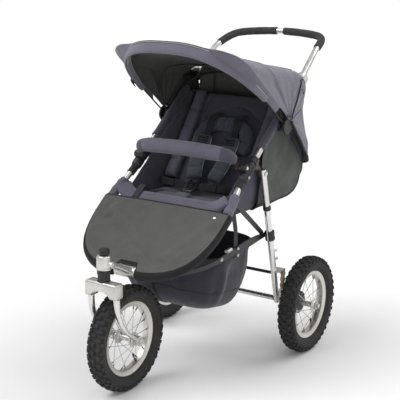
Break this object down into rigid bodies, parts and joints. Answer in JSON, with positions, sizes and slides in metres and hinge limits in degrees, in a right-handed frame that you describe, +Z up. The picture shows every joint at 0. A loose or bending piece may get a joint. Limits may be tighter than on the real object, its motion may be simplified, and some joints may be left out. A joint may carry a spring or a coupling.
{
  "type": "three-wheeled pushchair",
  "caption": "Three-wheeled pushchair with air tyres and wire spokes, swivelling front fork, sprung folding rear legs, padded seat, hood, bumper bar, apron and basket.",
  "frame": {"origin": "on the floor, half way along the length and on the middle plane", "axes": "+Z up; the child faces -Y; +X is the child's left"},
  "size_m": [0.64, 1.0286, 1.0238],
  "materials": {
    "silver_tube": "satin anodised",
    "cast_silver": "satin cast",
    "rim": "satin",
    "black_plastic": "moulded",
    "black_steel": "semi-gloss paint",
    "tyre_rubber": "matte",
    "foam_grip": "matte foam",
    "elastomer": "satin",
    "navy_fabric": "woven",
    "dark_fabric": "woven",
    "slate_fabric": "woven",
    "apron_fabric": "woven",
    "mesh_fabric": "open mesh",
    "basket_fabric": "woven",
    "webbing": "webbing"
  },
  "bodies": {
    "frame": {"head_bracket": "cast_silver", "head_bearing": "black_plastic", "front_loop": "silver_tube", "side_tube_left": "silver_tube", "side_tube_right": "silver_tube", "bumper_socket_left": "black_plastic", "bumper_socket_right": "black_plastic", "leg_bracket_left": "black_steel", "leg_bracket_right": "black_steel", "handle_knuckle_left": "black_plastic", "handle_knuckle_right": "black_plastic", "side_rail_left": "black_steel", "side_rail_right": "black_steel", "rail_strut_left": "black_steel", "rail_strut_right": "black_steel", "hood_rear_bow": "black_plastic", "hood_canopy": "navy_fabric", "seat_shell": "navy_fabric", "seat_cushion": "dark_fabric", "crotch_strap": "webbing", "rear_pouch": "mesh_fabric", "apron": "apron_fabric", "basket": "basket_fabric"},
    "front_fork": {"fork_blade_left": "silver_tube", "fork_blade_right": "silver_tube", "fork_crown": "cast_silver", "front_axle": "cast_silver"},
    "front_wheel": {"front_tyre": "tyre_rubber", "front_rim": "rim", "front_hub": "cast_silver"},
    "swivel_lock": {"swivel_lock_knob": "black_plastic"},
    "rear_legs": {"rear_leg_left": "silver_tube", "rear_leg_right": "silver_tube", "lower_crossbar": "silver_tube"},
    "brake": {"brake_bar": "black_steel"},
    "latch_left": {"fold_latch_left": "black_plastic"},
    "latch_right": {"fold_latch_right": "black_plastic"},
    "arm_left": {"rear_arm_left": "cast_silver", "rear_spring_left": "elastomer"},
    "arm_right": {"rear_arm_right": "cast_silver", "rear_spring_right": "elastomer"},
    "rear_wheel_left": {"rear_left_tyre": "tyre_rubber", "rear_left_rim": "rim", "rear_left_hub": "cast_silver"},
    "rear_wheel_right": {"rear_right_tyre": "tyre_rubber", "rear_right_rim": "rim", "rear_right_hub": "cast_silver"},
    "handle": {"handle_bar": "silver_tube", "handle_grip_left": "foam_grip", "handle_grip_right": "foam_grip"},
    "hood_front": {"hood_front_bow": "black_plastic", "hood_brim": "navy_fabric"},
    "hood_mid": {"hood_mid_bow": "black_plastic"},
    "backrest": {"backrest_pad": "dark_fabric", "shoulder_harness": "webbing", "neck_pillow": "slate_fabric"},
    "bumper": {"bumper_core": "black_plastic", "bumper_pad": "navy_fabric"}
  },
  "joints": [
    {"name": "front_swivel", "type": "hinge", "parent": "frame", "child": "front_fork", "pos_m": [0, -0.46165, 0.409], "axis": [0, 0, 1], "continuous": true},
    {"name": "front_wheel_spin", "type": "hinge", "parent": "front_fork", "child": "front_wheel", "pos_m": [0, -0.35765, 0.1575], "axis": [1, 0, 0], "continuous": true},
    {"name": "swivel_lock_lift", "type": "slide", "parent": "frame", "child": "swivel_lock", "axis": [0, 0, 1], "range_m": [0, 0.008]},
    {"name": "rear_leg_fold", "type": "hinge", "parent": "frame", "child": "rear_legs", "pos_m": [0, 0.03735, 0.60994], "axis": [1, 0, 0], "range_deg": [-45, 0], "deforming": ["basket"]},
    {"name": "brake_pedal", "type": "hinge", "parent": "rear_legs", "child": "brake", "pos_m": [0, 0.12951, 0.276], "axis": [1, 0, 0], "range_deg": [-25, 0]},
    {"name": "fold_latch_left", "type": "slide", "parent": "rear_legs", "child": "latch_left", "axis": [0, -0.266, 0.964], "range_m": [0, 0.012], "stiffness_N_per_m": 800, "springref_m": -0.01},
    {"name": "fold_latch_right", "type": "slide", "parent": "rear_legs", "child": "latch_right", "axis": [0, -0.266, 0.964], "range_m": [0, 0.012], "stiffness_N_per_m": 800, "springref_m": -0.01},
    {"name": "suspension_left", "type": "hinge", "parent": "rear_legs", "child": "arm_left", "pos_m": [0.2275, 0.15435, 0.186], "axis": [1, 0, 0], "range_deg": [0, 8], "stiffness_Nm_per_rad": 20, "springref_deg": -20.05, "deforming": ["rear_spring_left"]},
    {"name": "rear_wheel_spin_left", "type": "hinge", "parent": "arm_left", "child": "rear_wheel_left", "pos_m": [0.276, 0.24235, 0.1575], "axis": [1, 0, 0], "continuous": true},
    {"name": "suspension_right", "type": "hinge", "parent": "rear_legs", "child": "arm_right", "pos_m": [-0.2275, 0.15435, 0.186], "axis": [1, 0, 0], "range_deg": [0, 8], "stiffness_Nm_per_rad": 20, "springref_deg": -20.05, "deforming": ["rear_spring_right"]},
    {"name": "rear_wheel_spin_right", "type": "hinge", "parent": "arm_right", "child": "rear_wheel_right", "pos_m": [-0.276, 0.24235, 0.1575], "axis": [1, 0, 0], "continuous": true},
    {"name": "handle_tilt", "type": "hinge", "parent": "frame", "child": "handle", "pos_m": [0, 0.27235, 0.863], "axis": [1, 0, 0], "range_deg": [-75, 15]},
    {"name": "hood_front_fold", "type": "hinge", "parent": "frame", "child": "hood_front", "pos_m": [0, 0.14235, 0.743], "axis": [1, 0, 0], "range_deg": [-75, 0], "deforming": ["hood_canopy"]},
    {"name": "hood_mid_fold", "type": "hinge", "parent": "frame", "child": "hood_mid", "pos_m": [0, 0.14235, 0.743], "axis": [1, 0, 0], "range_deg": [-56.25, 0]},
    {"name": "backrest_recline", "type": "hinge", "parent": "frame", "child": "backrest", "pos_m": [0, 0.06735, 0.523], "axis": [1, 0, 0], "range_deg": [-24, 8], "deforming": ["rear_pouch"]},
    {"name": "bumper_swing", "type": "hinge", "parent": "frame", "child": "bumper", "pos_m": [0, -0.04639, 0.63618], "axis": [1, 0, 0], "range_deg": [0, 50]}
  ],
  "couplings": [
    {"joint": "fold_latch_right", "follows": "fold_latch_left", "ratio": 1},
    {"joint": "hood_mid_fold", "follows": "hood_front_fold", "ratio": 0.75}
  ]
}
